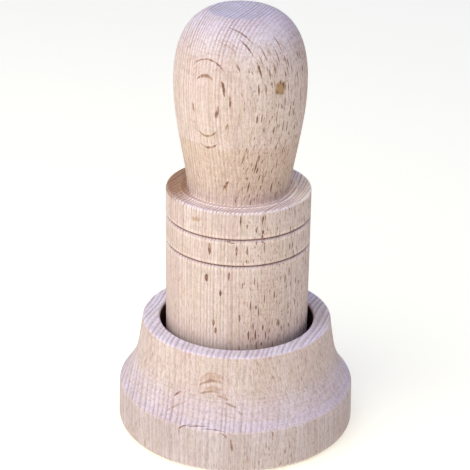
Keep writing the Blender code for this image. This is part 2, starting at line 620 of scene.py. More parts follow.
    def _flecks(self) -> Socket:
        """Every ray, small and large.

        Returns:
            How strongly a ray shows, from 0 to 1.
        """
        finish = self.finish
        shown = self._small_flecks()
        true_rays = self._fanned(self.straight)
        ragged = self.noise(true_rays, finish.ragged_grain).outputs[0]
        worn = self.noise(true_rays, finish.worn_grain).outputs[0]
        shared = {
            "Wood": true_rays,
            "Uneven": self.band(ragged, *finish.uneven_span, *finish.uneven_width),
            "Worn": self.band(worn, *finish.worn_span, finish.least_worn, 1.0),
        }
        for flake in finish.flakes:
            shown = self.sum(Sum.MOST, shown, flake.shown(self, shared))
        return shown

    def _field(self, rays: Feed, scatter: FleckField) -> Socket:
        """One fleck at most in each cell of a scatter, thin across the rays and long up the fibres.

        Args:
            rays: The place in fanned wood millimetres.
            scatter: The sizes and the share of cells that hold a fleck.

        Returns:
            How strongly a fleck shows, from 0 to 1.
        """
        offset = self.vector_sum(Sum.ADD, rays, (scatter.seed + self.finish.seed,) * 3)
        cells = self.vector_sum(Sum.OVER, offset, scatter.cell)
        dots = self.node("ShaderNodeTexVoronoi", voronoi_dimensions="3D", feature="F1")
        self.feed(dots.inputs["Vector"], cells)
        dots.inputs["Scale"].default_value = 1.0
        from_middle = self.vector_sum(Sum.TAKE, cells, dots.outputs["Position"])
        distance = self.vector_sum(Sum.TIMES, from_middle, scatter.cell)
        _, thick, high = self.parts(distance)
        chance, girth, reach = self.parts(dots.outputs["Color"])
        half_height = self.band(reach, 0.0, 1.0, *scatter.half_height)
        half_thickness = self.band(girth, 0.0, 1.0, *scatter.half_thickness)
        rise = self.sum(Sum.OVER, high, half_height)
        spindle = self.sum(Sum.TAKE, 1.0, self.sum(Sum.POWER, rise, 2.0))
        wall = self.product(half_thickness, spindle)
        depth = self.sum(Sum.TAKE, wall, self.sum(Sum.SIZE, thick))
        body = self.band(depth, -scatter.softness, scatter.softness, 0.0, scatter.strength)
        present = self.band(chance, 1.0 - scatter.share, 1.0)
        return self.product(body, self.sum(Sum.POWER, present, self.finish.fleck_fade_power))

    def _body_colour(self) -> Socket:
        """The wood's own colour, which drifts between cream, rose and straw up the blank.

        Returns:
            The colour before rings and rays.
        """
        finish = self.finish
        offset = self.vector_sum(Sum.ADD, self.wood, (finish.seed * 5.0, 0.0, 0.0))
        rosy = self.patches(offset, finish.rosy_grain, *finish.rosy_span)
        strawy = self.patches(offset, finish.straw_grain, *finish.straw_span, most=finish.most_straw)
        colour = self.colour(rosy, (*finish.cream, 1.0), finish.rose, Blend.COVER)
        return self.colour(strawy, colour, finish.straw, Blend.COVER)

    def _with_tone_patches(self, colour: Feed) -> Feed:
        """Lay the patches of other tone over the colour: knots and other marks in the wood, and patches of
        painted light and shade.

        Args:
            colour: The colour so far.

        Returns:
            The colour with its patches.
        """
        ragged = self.noise(self.piece, self.finish.torn_grain).outputs[0]
        for tone_patch in self.finish.stains_and_painted_light:
            offset = self.vector_sum(Sum.TAKE, self.piece, tone_patch.place)
            away = self.length(self.vector_sum(Sum.OVER, offset, tone_patch.half_size))
            torn = self.band(ragged, *self.finish.torn_span, -tone_patch.raggedness, tone_patch.raggedness)
            amount = self.band(self.sum(Sum.ADD, away, torn), 1.0 - tone_patch.softness, 1.0, 1.0, 0.0)
            colour = self.colour(amount, colour, tone_patch.tone, Blend.STAIN)
        return colour

    def _with_zones_and_painted_lines(self, colour: Feed) -> Feed:
        """Lay the zones of the height, some of them painted light and shade, and the lines of painted
        highlight and shade at grooves and corners.

        Args:
            colour: The colour so far.

        Returns:
            The colour with its zones and lines.
        """
        radius, height = self.from_axis(self.piece)
        turned = self.vector(radius, height, 0.0)
        scuffs = self.patches(turned, self.finish.scuff_grain, *self.finish.scuff_span)
        colour = self.colour(scuffs, colour, self.finish.scuff_tone, Blend.STAIN)
        for zone in self.finish.zones:
            above = self.band(height, zone.bottom - zone.edge, zone.bottom + zone.edge)
            below = self.band(height, zone.top - zone.edge, zone.top + zone.edge, 1.0, 0.0)
            inside = self.band(radius, zone.within - zone.edge, zone.within, 1.0, 0.0)
            colour = self.colour(self.product(above, below, inside), colour, zone.tone, Blend.STAIN)
        for line in self.finish.painted_light_lines:
            out = self.sum(Sum.TAKE, radius, line.radius)
            up = self.sum(Sum.TAKE, height, line.height)
            amount = self.band(self.length(self.vector(out, up, 0.0)), 0.0, line.reach, 1.0, 0.0)
            colour = self.colour(amount, colour, line.tone, Blend.STAIN)
        return colour

    def _relief(self) -> Socket:
        """The feel of the surface: raised grit, sunk fibres and rays, and the faint rings of sanding.

        Returns:
            The bumped normal.
        """
        finish = self.finish
        radius, height = self.from_axis(self.piece)
        sanding = self.noise(self.vector(radius, height, 0.0), finish.sanding_grain).outputs[0]
        grit = self.noise(self.wood, finish.grit_grain).outputs[0]
        raised = self.weighed((sanding, finish.sanding_height), (grit, finish.grit_height))
        hollow = self.weighed((self.fibres, finish.fibre_hollow), (self.flecks, finish.fleck_hollow))
        bump = {
            "Strength": finish.bump_strength,
            "Distance": finish.bump_metres,
            "Height": self.sum(Sum.TAKE, raised, hollow),
        }
        return self.fed("ShaderNodeBump", bump).outputs[0]


def ray_plate_group() -> bpy.types.NodeTree:
    """A node group that shows one large ray: a plate that thins out to its edge all round.

    Returns:
        The group, made once and shared by both finishes.
    """
    name = "Ray plate"
    if name in bpy.data.node_groups:
        return bpy.data.node_groups[name]
    tree = bpy.data.node_groups.new(name, "ShaderNodeTree")
    for socket in ("Wood", "Place", "Half Size"):
        tree.interface.new_socket(socket, in_out="INPUT", socket_type="NodeSocketVector")
    for socket in ("Uneven", "Worn", "Strength"):
        tree.interface.new_socket(socket, in_out="INPUT", socket_type="NodeSocketFloat")
    tree.interface.new_socket("Shown", in_out="OUTPUT", socket_type="NodeSocketFloat")
    graph = Graph(tree)
    given = graph.node("NodeGroupInput").outputs
    away = graph.vector_sum(Sum.TAKE, given["Wood"], given["Place"])
    share = graph.vector_sum(Sum.OVER, away, given["Half Size"])
    spread = graph.along(graph.vector_sum(Sum.TIMES, share, share), (1.0, 0.0, 1.0))
    thick = graph.along(share, (0.0, 1.0, 0.0))
    wall = graph.product(graph.sum(Sum.TAKE, 1.0, spread), given["Uneven"])
    depth = graph.sum(Sum.TAKE, wall, graph.sum(Sum.SIZE, thick))
    body = graph.band(depth, *PLATE_EDGE)
    shown = graph.product(body, graph.product(given["Worn"], given["Strength"]))
    graph.fed("NodeGroupOutput", {"Shown": shown})
    return tree


def bezier(start: Point, start_handle: Point, end_handle: Point, end: Point, count: int) -> list[Point]:
    """Points along a Bezier curve, with both its ends.

    Args:
        start: Where the curve starts.
        start_handle: The handle that sets its direction there.
        end_handle: The handle that sets its direction at the end.
        end: Where it ends.
        count: How many points it gets.

    Returns:
        The points.
    """
    knots = [Vector((radius, height, 0.0)) for radius, height in (start, start_handle, end_handle, end)]
    return [(point.x, point.y) for point in interpolate_bezier(*knots, count)]


@dataclass
class Outline:
    """The outline of a turned piece: (radius, height) points in millimetres, from one pole to the other."""

    points: list[Point] = field(default_factory=list)
    arc_step_degrees: float = 7.5
    least_arc_steps: int = 4

    def go(self, *points: Point) -> "Outline":
        """Add straight runs to the given points."""
        self.points.extend(points)
        return self

    def corner(self, before: Point, corner: Point, after: Point, radius: float) -> "Outline":
        """Add a corner that is rounded by an arc.

        Args:
            before: A point on the run that reaches the corner.
            corner: Where the two runs would meet.
            after: A point on the run that leaves it.
            radius: The arc's radius.

        Returns:
            The outline itself.
        """
        tip = Vector(corner)
        back = (Vector(before) - tip).normalized()
        ahead = (Vector(after) - tip).normalized()
        half_angle = back.angle(ahead) / 2
        centre = tip + (back + ahead).normalized() * (radius / math.sin(half_angle))
        start = tip + back * (radius / math.tan(half_angle)) - centre
        end = tip + ahead * (radius / math.tan(half_angle)) - centre
        turn = -start.angle_signed(end)
        steps = max(self.least_arc_steps, math.ceil(abs(math.degrees(turn)) / self.arc_step_degrees))
        for step in range(steps + 1):
            arm = Matrix.Rotation(turn * step / steps, 2) @ start
            self.points.append((centre.x + arm.x, centre.y + arm.y))
        return self

    def dish(self, radius: float, edge: float, middle: float, count: int, outwards: bool) -> "Outline":
        """Add a shallow spherical dish or dome that is centred on the axis.

        Args:
            radius: The radius of its edge.
            edge: The height of its edge.
            middle: The height of its middle.
            count: How many points it gets.
            outwards: Whether it runs from the middle to the edge.

        Returns:
            The outline itself.
        """
        rise = middle - edge
        sphere = (radius**2 + rise**2) / (2 * abs(rise))
        half_angle = math.asin(radius / sphere)
        run = []
        for step in range(count):
            angle = half_angle * step / (count - 1)
            drop = math.copysign(sphere * (1 - math.cos(angle)), rise)
            run.append((sphere * math.sin(angle), middle - drop))
        self.points.extend(run if outwards else reversed(run))
        return self


@dataclass
class Lathe:
    """Turns outlines into solid meshes with one Geometry Nodes tree.

    The tree lays a grid over the outline, wraps it round the Z axis and sinks the surface by faint,
    uneven tool marks that run round the piece.
    """

    steps: int = 240
    mark_depth_mm: float = 0.05
    mark_pitch_mm: float = 2.6
    mark_span: Span = (0.3, 0.7)
    seed: int = 5

    def __post_init__(self) -> None:
        """Build the tree once."""
        self.tree = self._build_tree()

    def _build_tree(self) -> bpy.types.NodeTree:
        """Build the lathe's node tree.

        Returns:
            A tree that takes outline edges and gives the turned solid.
        """
        tree = bpy.data.node_groups.new("Lathe", "GeometryNodeTree")
        sockets = {
            "Outline": "NodeSocketGeometry",
            "Steps": "NodeSocketInt",
            "Mark Depth": "NodeSocketFloat",
            "Mark Pitch": "NodeSocketFloat",
            "Seed": "NodeSocketInt",
            "Finish": "NodeSocketMaterial",
        }
        for name, kind in sockets.items():
            tree.interface.new_socket(name, in_out="INPUT", socket_type=kind)
        tree.interface.new_socket("Solid", in_out="OUTPUT", socket_type="NodeSocketGeometry")
        graph = Graph(tree)
        given = graph.node("NodeGroupInput").outputs
        solid = self._mark(graph, given, self._wrap(graph, given))
        realized = graph.fed("GeometryNodeRealizeInstances", {"Geometry": solid}).outputs[0]
        dressed = graph.fed("GeometryNodeSetMaterial", {"Geometry": realized, "Material": given["Finish"]})
        graph.fed("NodeGroupOutput", {"Solid": dressed.outputs[0]})
        return tree

    def _wrap(self, graph: Graph, given: bpy.types.NodeOutputs) -> Socket:
        """Lay a grid over the outline and wrap it round the axis.

        Args:
            graph: The tree's graph.
            given: The tree's inputs.

        Returns:
            The closed, smooth solid.
        """
        outline = given["Outline"]
        place = graph.node("GeometryNodeInputPosition").outputs[0]
        count = graph.fed("GeometryNodeAttributeDomainSize", {"Geometry": outline}).outputs["Point Count"]
        columns = graph.sum(Sum.ADD, given["Steps"], 1.0)
        squares = {"Size X": 1.0, "Size Y": 1.0, "Vertices X": columns, "Vertices Y": count}
        grid = graph.fed("GeometryNodeMeshGrid", squares).outputs["Mesh"]
        across, up, _ = graph.parts(place)
        turn = graph.product(graph.sum(Sum.ADD, across, 0.5), math.tau)
        last = graph.sum(Sum.TAKE, count, 1.0)
        nearest = graph.sum(Sum.ADD, graph.product(graph.sum(Sum.ADD, up, 0.5), last), 0.5)
        lookup = {"Geometry": outline, "Value": place, "Index": graph.sum(Sum.FLOOR, nearest)}
        pick = graph.fed("GeometryNodeSampleIndex", lookup, data_type="FLOAT_VECTOR", domain="POINT")
        radius, _, height = graph.parts(pick.outputs[0])
        x = graph.product(radius, graph.sum(Sum.COSINE, turn))
        y = graph.product(radius, graph.sum(Sum.SINE, turn))
        wrapped = {"Geometry": grid, "Position": graph.vector(x, y, height)}
        solid = graph.fed("GeometryNodeSetPosition", wrapped).outputs[0]
        closed = {"Geometry": solid, "Distance": WELD_METRES}
        solid = graph.fed("GeometryNodeMergeByDistance", closed).outputs[0]
        solid = graph.fed("GeometryNodeFlipFaces", {"Mesh": solid}).outputs[0]
        return graph.fed("GeometryNodeSetShadeSmooth", {"Geometry": solid}).outputs[0]

    def _mark(self, graph: Graph, given: bpy.types.NodeOutputs, solid: Socket) -> Socket:
        """Sink the surface by tool marks, never raising it.

        Args:
            graph: The tree's graph.
            given: The tree's inputs.
            solid: The turned solid.

        Returns:
            The marked solid.
        """
        radius, height = graph.from_axis(graph.node("GeometryNodeInputPosition").outputs[0])
        pitch = given["Mark Pitch"]
        out, up = (graph.sum(Sum.OVER, size, pitch) for size in (radius, height))
        spot = graph.vector(out, up, given["Seed"])
        uneven = graph.patches(spot, Grain((1.0, 1.0, 1.0)), *self.mark_span)
        sink = graph.product(uneven, given["Mark Depth"], -1.0)
        normal = graph.node("GeometryNodeInputNormal").outputs[0]
        drop = graph.fed("ShaderNodeVectorMath", {"Vector": normal, "Scale": sink}, operation="SCALE")
        sunk = {"Geometry": solid, "Offset": drop.outputs[0]}
        return graph.fed("GeometryNodeSetPosition", sunk).outputs[0]

    def turn(self, name: str, outline: Outline, finish: bpy.types.Material) -> bpy.types.Object:
        """Turn an outline into a plain mesh object.

        Args:
            name: The piece's name.
            outline: Its outline, in millimetres.
            finish: Its material.

        Returns:
            The piece, at the origin, with its place in its mesh.
        """
        edges = bpy.data.meshes.new(f"{name}_outline")
        spots = [(radius / MM_PER_METRE, 0.0, height / MM_PER_METRE) for radius, height in outline.points]
        edges.from_pydata(spots, [(index, index + 1) for index in range(len(spots) - 1)], [])
        blank = bpy.data.objects.new(f"{name}_blank", edges)
        bpy.context.collection.objects.link(blank)
        modifier = blank.modifiers.new("Lathe", "NODES")
        modifier.node_group = self.tree
        sizes = {
            "Steps": self.steps,
            "Mark Depth": self.mark_depth_mm / MM_PER_METRE,
            "Mark Pitch": self.mark_pitch_mm / MM_PER_METRE,
            "Seed": self.seed,
            "Finish": finish,
        }
        for item in self.tree.interface.items_tree:
            if item.in_out == "INPUT" and item.name in sizes:
                modifier[item.identifier] = sizes[item.name]
        bpy.context.view_layer.update()
        evaluated = blank.evaluated_get(bpy.context.evaluated_depsgraph_get())
        mesh = bpy.data.meshes.new_from_object(evaluated)
        bpy.data.objects.remove(blank)
        bpy.data.meshes.remove(edges)
        mesh.name = name
        piece = bpy.data.objects.new(name, mesh)
        bpy.context.collection.objects.link(piece)
        return piece


@dataclass
class Cup:
    """The cup that the nut lies in: a flared foot, a collar, an open mouth and a blind bore."""

    # Two crescents, one over the other, in the middle of the flare: a thin edge and a faint fill.
    CRESCENTS: ClassVar[tuple[RayFlake, ...]] = (
        RayFlake((1.6, -34.52, 30.7), (5.4, 0.15, 2.6), 0.62),
        RayFlake((2.0, -34.20, 32.2), (5.2, 0.42, 3.2), 0.40),
        RayFlake((1.4, -35.28, 27.2), (4.6, 0.14, 2.2), 0.55),
        RayFlake((2.6, -35.02, 28.6), (3.4, 0.36, 2.4), 0.36),
    )
    # The rays that run down from the crescents to both sides.
    LEGS: ClassVar[tuple[RayFlake, ...]] = (
        RayFlake((6.2, -35.6, 26.4), (2.6, 0.16, 2.5), 0.55),
        RayFlake((9.4, -36.1, 24.2), (2.6, 0.16, 2.3), 0.55),
        RayFlake((12.2, -36.5, 21.9), (2.2, 0.15, 2.0), 0.45),
        RayFlake((-10.3, -33.8, 24.8), (1.5, 0.22, 2.5), 0.8),
        RayFlake((-10.0, -35.65, 20.8), (6.0, 0.15, 5.0), 0.5),
    )
    # A long ray that the foot band's edge cuts into an arc, in four pieces, and a tick under it.
    BAND_ARC: ClassVar[tuple[RayFlake, ...]] = (
        RayFlake((-6.0, -40.2, 15.6), (4.2, 0.13, 2.9), 0.8),
        RayFlake((-0.6, -40.55, 17.0), (4.4, 0.13, 2.4), 0.8),
        RayFlake((4.8, -41.15, 16.5), (4.2, 0.13, 2.4), 0.75),
        RayFlake((8.6, -41.55, 15.0), (2.8, 0.07, 1.8), 0.6),
        RayFlake((11.15, -41.33, 11.5), (1.0, 0.12, 2.8), 0.8),
    )

    bore_radius: float = 27.1
    floor_height: float = 12.0
    bore_round: float = 1.5
    seat_wall: float = 9.0
    seat_depth: float = 4.0
    rim_width: float = 6.1
    rim_round: float = 0.8
    foot_overhang: float = 8.8
    foot_band_height: float = 16.0
    foot_band_taper: float = 0.4
    foot_top_round: float = 3.0
    foot_bottom_round: float = 3.0
    collar_handle_out: float = 0.24
    collar_handle_down: float = 0.63
    foot_handle_in: float = 0.77
    foot_handle_up: float = 0.4
    flare_end_inset: float = 1.0
    flare_end_rise: float = 0.3
    flare_points: int = 60
    flare_points_cut_at_rim: int = 2
    flare_points_cut_at_foot: int = 5
    seat_points: int = 24

    def __post_init__(self) -> None:
        """Take the cup's height from the frame."""
        self.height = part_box("base_cup")[1][2] * MM_PER_METRE

    def outline(self) -> Outline:
        """The cup's outline.

        Returns:
            An outline from the floor's middle, up the bore, over the rim and down to the underside.
        """
        seat_radius = self.bore_radius - self.seat_wall
        rim_radius = self.bore_radius + self.rim_width
        foot_radius = rim_radius + self.foot_overhang
        seat_edge = (seat_radius, self.floor_height)
        floor_edge = (self.bore_radius, self.floor_height)
        mouth = (self.bore_radius, self.height)
        rim = (rim_radius, self.height)
        foot_top = (foot_radius - self.foot_band_taper, self.foot_band_height)
        foot_bottom = (foot_radius, 0.0)
        middle = (0.0, 0.0)
        collar = self.height - self.foot_band_height
        collar_handle = (
            rim_radius + self.collar_handle_out * self.foot_overhang,
            self.height - self.collar_handle_down * collar,
        )
        foot_handle = (
            foot_radius - self.foot_handle_in * self.foot_overhang,
            self.foot_band_height + self.foot_handle_up * collar,
        )
        flare_end = (foot_top[0] - self.flare_end_inset, foot_top[1] + self.flare_end_rise)
        flare = bezier(rim, collar_handle, foot_handle, flare_end, self.flare_points)
        flare = flare[self.flare_points_cut_at_rim : -self.flare_points_cut_at_foot]
        made = Outline()
        seat_bottom = self.floor_height - self.seat_depth
        made.dish(seat_radius, self.floor_height, seat_bottom, self.seat_points, outwards=True)
        made.corner(seat_edge, floor_edge, mouth, self.bore_round)
        made.corner(floor_edge, mouth, rim, self.rim_round)
        made.corner(mouth, rim, flare[0], self.rim_round)
        made.go(*flare)
        made.corner(flare[-1], foot_top, foot_bottom, self.foot_top_round)
        made.corner(foot_top, foot_bottom, middle, self.foot_bottom_round)
        return made.go(middle)

    def finish(self) -> BeechFinish:
        """The cup's wood: wide rings, and a few large rays where the front of the flare cuts them."""
        rim_radius = self.bore_radius + self.rim_width
        return BeechFinish(
            name="beech_cup",
            ray_turn_degrees=17.0,
            ring_width=1.8,
            pith_distance=-400.0,
            seed=41.0,
            quiet_below=-30.0,
            ring_share_on_sides=0.36,
            ring_share_on_ends=0.95,
            # Painted sky light: the cup's sloped faces are made paler and bluer.
            slope_painted_sky=(1.04, 1.10, 1.26),
            # Painted sky light: the cup's end faces, its rim, are made paler and cooler.
            end_grain_tone_and_painted_sky=(1.12, 1.19, 1.14),
            ring_tone=(0.63, 0.57, 0.61),
            fields=(
                FleckField((9.0, 2.0, 5.0), (0.10, 0.19), (0.6, 1.6), 0.55, 0.06, 0.65, 3.0),
                FleckField((4.0, 1.1, 2.6), (0.07, 0.13), (0.3, 1.0), 0.55, 0.05, 0.55, 17.0),
                FleckField((2.4, 0.6, 1.5), (0.04, 0.09), (0.2, 0.6), 0.75, 0.05, 0.4, 29.0),
            ),
            flakes=self.CRESCENTS + self.LEGS + self.BAND_ARC,
            zones=(
                # Painted shade: the foot band is made darker and cooler, as less light reaches it low down.
                Zone(-1.0, self.foot_band_height - 0.5, 0.8, (0.87, 0.90, 0.97)),
                # Painted shade: the bore's wall below the mouth is made almost black, as the shade deep in
                # the bore.
                Zone(1.0, self.height - 0.9, 0.6, (0.07, 0.035, 0.03), self.bore_radius + 0.6),
            ),
            # Painted shadow: the rim's right, where the pestle's shadow falls, is made darker and warmer.
            stains_and_painted_light=(StainOrPaintedLight((31.0, 4.0, self.height), (10.0, 20.0, 1.2), (0.95, 0.93, 0.82), 0.6, 0.1),),
            painted_light_lines=(
                # Painted highlight: a paler line along the rim's outer edge.
                PaintedLightLine(rim_radius - 0.2, self.height - 0.2, 0.8, (1.16, 1.17, 1.18)),
            ),
        )

    def build(self, lathe: Lathe) -> bpy.types.Object:
        """Turn the cup, dress it and tie it to its body.

        Args:
            lathe: The lathe that turns it.

        Returns:
            The finished piece.
        """
        finish = self.finish()
        piece = lathe.turn("turned_cup", self.outline(), finish.material())
        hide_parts("base_cup")
        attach(piece, "cup")
        return piece


@dataclass
class Pestle:
    """The pestle: a bulb handle and a grooved cylinder with a hollowed end, turned from one blank."""

    # The nested arcs on the handle's left, and the rays that stand on both sides of them.
    ARCS: ClassVar[tuple[RayFlake, ...]] = (
        RayFlake((-2.6, -21.0, 139.0), (7.0, 0.12, 3.2), 0.78),
        RayFlake((-3.6, -22.2, 134.6), (4.0, 0.12, 2.2), 0.69),
        RayFlake((2.9, -21.65, 132.0), (1.6, 0.18, 3.4), 0.87),
        RayFlake((5.3, -21.05, 127.6), (1.5, 0.19, 2.6), 0.83),
        RayFlake((-8.0, -22.15, 123.8), (1.2, 0.14, 2.2), 0.69),
        RayFlake((1.0, -22.2, 123.6), (1.6, 0.17, 2.6), 0.83),
        RayFlake((4.1, -21.04, 118.9), (1.2, 0.17, 1.6), 0.78),
        RayFlake((-2.6, -21.7, 115.6), (4.2, 0.10, 2.6), 0.74),
        RayFlake((-2.4, -21.03, 111.2), (4.2, 0.11, 1.8), 0.78),
    )
    # The long rays that lean over the handle's upper right.
    CROWN_RAYS: ClassVar[tuple[RayFlake, ...]] = (
        RayFlake((6.0, -14.1, 148.2), (7.4, 0.22, 3.8), 0.85),
        RayFlake((13.6, -13.1, 143.2), (3.0, 0.22, 3.4), 0.80),
        RayFlake((17.0, -11.7, 138.2), (1.5, 0.24, 2.6), 0.85),
        RayFlake((16.1, -13.2, 136.3), (1.3, 0.24, 2.2), 0.85),
        RayFlake((9.0, -15.6, 144.6), (4.2, 0.22, 4.2), 0.90),
        RayFlake((13.0, -15.4, 138.7), (1.3, 0.26, 2.5), 1.00),
        RayFlake((16.3, -8.0, 145.0), (3.0, 0.24, 3.6), 0.85),
        RayFlake((18.9, -7.75, 139.6), (1.2, 0.24, 2.4), 0.75),
        RayFlake((7.2, -19.0, 139.0), (1.4, 0.22, 1.9), 0.75),
    )
    # The rays low on the handle.
    NECK_RAYS: ClassVar[tuple[RayFlake, ...]] = (
        RayFlake((8.7, -17.25, 107.1), (1.3, 0.17, 2.2), 0.90),
        RayFlake((12.4, -14.35, 105.0), (2.2, 0.20, 4.8), 1.00),
        RayFlake((2.8, -17.93, 96.9), (1.7, 0.17, 2.8), 0.90),
        RayFlake((9.8, -14.65, 96.6), (1.3, 0.17, 2.3), 0.90),
        RayFlake((5.9, -16.2, 91.7), (1.0, 0.14, 1.6), 0.75),
    )
    # A small knot on the handle's right, with a darker rim above and below.
    KNOT: ClassVar[tuple[StainOrPaintedLight, ...]] = (
        StainOrPaintedLight((12.9, -18.2, 131.2), (2.3, 2.4, 2.7), (0.64, 0.51, 0.32), 0.3, 0.12),
        StainOrPaintedLight((14.0, -17.5, 132.6), (0.6, 0.8, 1.4), (0.50, 0.38, 0.34), 0.6, 0.3),
        StainOrPaintedLight((11.8, -18.9, 129.9), (0.7, 0.8, 0.9), (0.60, 0.48, 0.42), 0.6, 0.3),
    )
    # A brown patch over the upper groove, and chips at the groove's lips.
    CHIPS: ClassVar[tuple[StainOrPaintedLight, ...]] = (
        StainOrPaintedLight((-13.9, -20.7, 85.7), (2.4, 1.8, 1.0), (0.80, 0.70, 0.60)),
        StainOrPaintedLight((-3.1, -24.8, 79.5), (0.9, 1.2, 0.22), (0.45, 0.30, 0.24)),
        StainOrPaintedLight((-1.9, -24.9, 79.0), (0.9, 1.2, 0.22), (0.45, 0.30, 0.24)),
        StainOrPaintedLight((8.2, -23.6, 79.0), (0.5, 1.2, 0.25), (0.45, 0.30, 0.24)),
        StainOrPaintedLight((8.9, -23.4, 78.5), (0.4, 1.2, 0.30), (0.45, 0.30, 0.24)),
    )
    # The larger rays on the front of the cylinder.
    CYLINDER_RAYS: ClassVar[tuple[RayFlake, ...]] = (
        RayFlake((10.0, -21.36, 87.4), (1.0, 0.16, 2.2), 0.90),
        RayFlake((16.3, -17.0, 86.8), (1.0, 0.16, 1.7), 0.85),
        RayFlake((6.7, -23.0, 66.8), (1.0, 0.17, 1.8), 0.90),
        RayFlake((11.0, -20.85, 63.4), (1.0, 0.15, 1.2), 0.85),
        RayFlake((14.4, -18.5, 64.9), (1.0, 0.16, 1.7), 0.90),
        RayFlake((-0.1, -25.01, 76.2), (1.0, 0.17, 2.4), 1.00),
        RayFlake((-1.1, -25.16, 65.3), (1.2, 0.17, 1.6), 1.00),
        RayFlake((3.9, -24.01, 60.2), (1.0, 0.20, 1.4), 0.90),
        RayFlake((1.6, -24.65, 48.9), (1.1, 0.20, 1.6), 0.90),
        RayFlake((2.3, -24.46, 46.0), (0.9, 0.20, 1.3), 0.80),
        RayFlake((8.9, -21.96, 76.1), (1.0, 0.22, 2.0), 0.90),
        RayFlake((13.4, -19.24, 55.6), (1.0, 0.22, 2.2), 0.90),
        RayFlake((10.2, -21.27, 51.2), (1.0, 0.22, 1.6), 0.90),
        RayFlake((13.0, -19.52, 44.6), (1.0, 0.24, 2.0), 0.90),
    )

    end_round: float = 1.0
    shoulder_round: float = 1.0
    end_wall: float = 8.0
    hollow_depth: float = 9.0
    cylinder_length: float = 77.7
    groove_drops: Sequence[float] = (10.0, 19.6)
    groove_width: float = 1.2
    groove_depth: float = 0.8
    groove_edge_round: float = 0.12
    shoulder_width: float = 7.2
    shoulder_dish: float = 0.5
    ring_inset: float = 2.1
    ring_width: float = 0.5
    ring_height: float = 0.4
    bulb_swell: float = 4.7
    bulb_widest: float = 36.3
    facet_radius: float = 10.6
    facet_dome: float = 0.2
    facet_dome_inset: float = 1.4
    facet_dome_rise: float = 0.05
    facet_round: float = 2.4
    crown_handle_down: float = 0.18
    widest_handle_up: float = 0.26
    widest_handle_down: float = 0.33
    foot_handle_up: float = 0.17
    foot_rise: float = 0.5
    foot_round: float = 0.3
    ring_round: float = 0.12
    facet_points: int = 16
    crown_points: int = 60
    crown_points_cut_at_facet: int = 4
    swell_points: int = 40
    hollow_points: int = 32

    def __post_init__(self) -> None:
        """Take the pestle's radius, end and top from the frame."""
        low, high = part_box("pestle")
        self.radius = (high[0] - low[0]) / 2 * MM_PER_METRE
        self.end = low[2] * MM_PER_METRE
        self.top = high[2] * MM_PER_METRE - self.facet_dome
        self.shoulder = self.end + self.cylinder_length
        self.neck_radius = self.radius - self.shoulder_width

    def _groove(self, made: Outline, height: float) -> None:
        """Add a V-groove whose lips are just broken.

        Args:
            made: The outline that is being drawn, top to bottom.
            height: The height of the groove's bottom.
        """
        above = (self.radius, height + self.groove_width)
        upper_lip = (self.radius, height + self.groove_width / 2)
        bottom = (self.radius - self.groove_depth, height)
        lower_lip = (self.radius, height - self.groove_width / 2)
        below = (self.radius, height - self.groove_width)
        made.corner(above, upper_lip, bottom, self.groove_edge_round)
        made.corner(upper_lip, bottom, lower_lip, self.groove_edge_round / 2)
        made.corner(bottom, lower_lip, below, self.groove_edge_round)

    def _bulb(self, made: Outline) -> None:
        """Add the handle, from the middle of its top facet to its foot on the shoulder."""
        bulb_radius = self.neck_radius + self.bulb_swell
        widest = (bulb_radius, self.shoulder + self.bulb_widest)
        foot = (self.neck_radius, self.shoulder + self.foot_rise)
        facet_edge = (self.facet_radius, self.top)
        crown = self.top - widest[1]
        crown_handle = (bulb_radius, self.top - self.crown_handle_down * crown)
        upper_handle = (bulb_radius, widest[1] + self.widest_handle_up * crown)
        lower_handle = (bulb_radius, widest[1] - self.widest_handle_down * self.bulb_widest)
        foot_handle = (self.neck_radius, foot[1] + self.foot_handle_up * self.bulb_widest)
        sides = bezier(facet_edge, crown_handle, upper_handle, widest, self.crown_points)
        sides = sides[self.crown_points_cut_at_facet :]
        dome_radius = self.facet_radius - self.facet_dome_inset
        dome_edge = self.top + self.facet_dome_rise
        made.dish(dome_radius, dome_edge, self.top + self.facet_dome, self.facet_points, outwards=True)
        made.corner(made.points[-1], facet_edge, sides[0], self.facet_round)
        made.go(*sides)
        made.go(*bezier(widest, lower_handle, foot_handle, foot, self.swell_points)[1:])

    def _shoulder(self, made: Outline) -> None:
        """Add the dished shoulder with the fine ring that the turning tool left."""
        dished = self.shoulder - self.shoulder_dish
        ring = self.neck_radius + self.ring_inset
        crest = (ring + self.ring_width / 2, dished + self.ring_height)
        ring_inner = (ring, dished)
        ring_outer = (ring + self.ring_width, dished)
        corner = (self.radius, self.shoulder)
        above = (self.neck_radius, self.shoulder + self.foot_rise)
        below = (self.radius, self.shoulder - self.groove_drops[0])
        made.corner(above, (self.neck_radius, dished), ring_inner, self.foot_round)
        made.corner(ring_inner, crest, ring_outer, self.ring_round)
        made.go(ring_outer)
        made.corner(ring_outer, corner, below, self.shoulder_round)

    def outline(self) -> Outline:
        """The pestle's outline.

        Returns:
            An outline from the top of the handle to the middle of the hollowed end.
        """
        made = Outline()
        self._bulb(made)
        self._shoulder(made)
        for drop in sorted(self.groove_drops):
            self._groove(made, self.shoulder - drop)
        hollow_radius = self.radius - self.end_wall
        hollow_edge = (hollow_radius, self.end)
        made.corner((self.radius, self.shoulder), (self.radius, self.end), hollow_edge, self.end_round)
        hollow_top = self.end + self.hollow_depth
        return made.dish(hollow_radius, self.end, hollow_top, self.hollow_points, outwards=False)

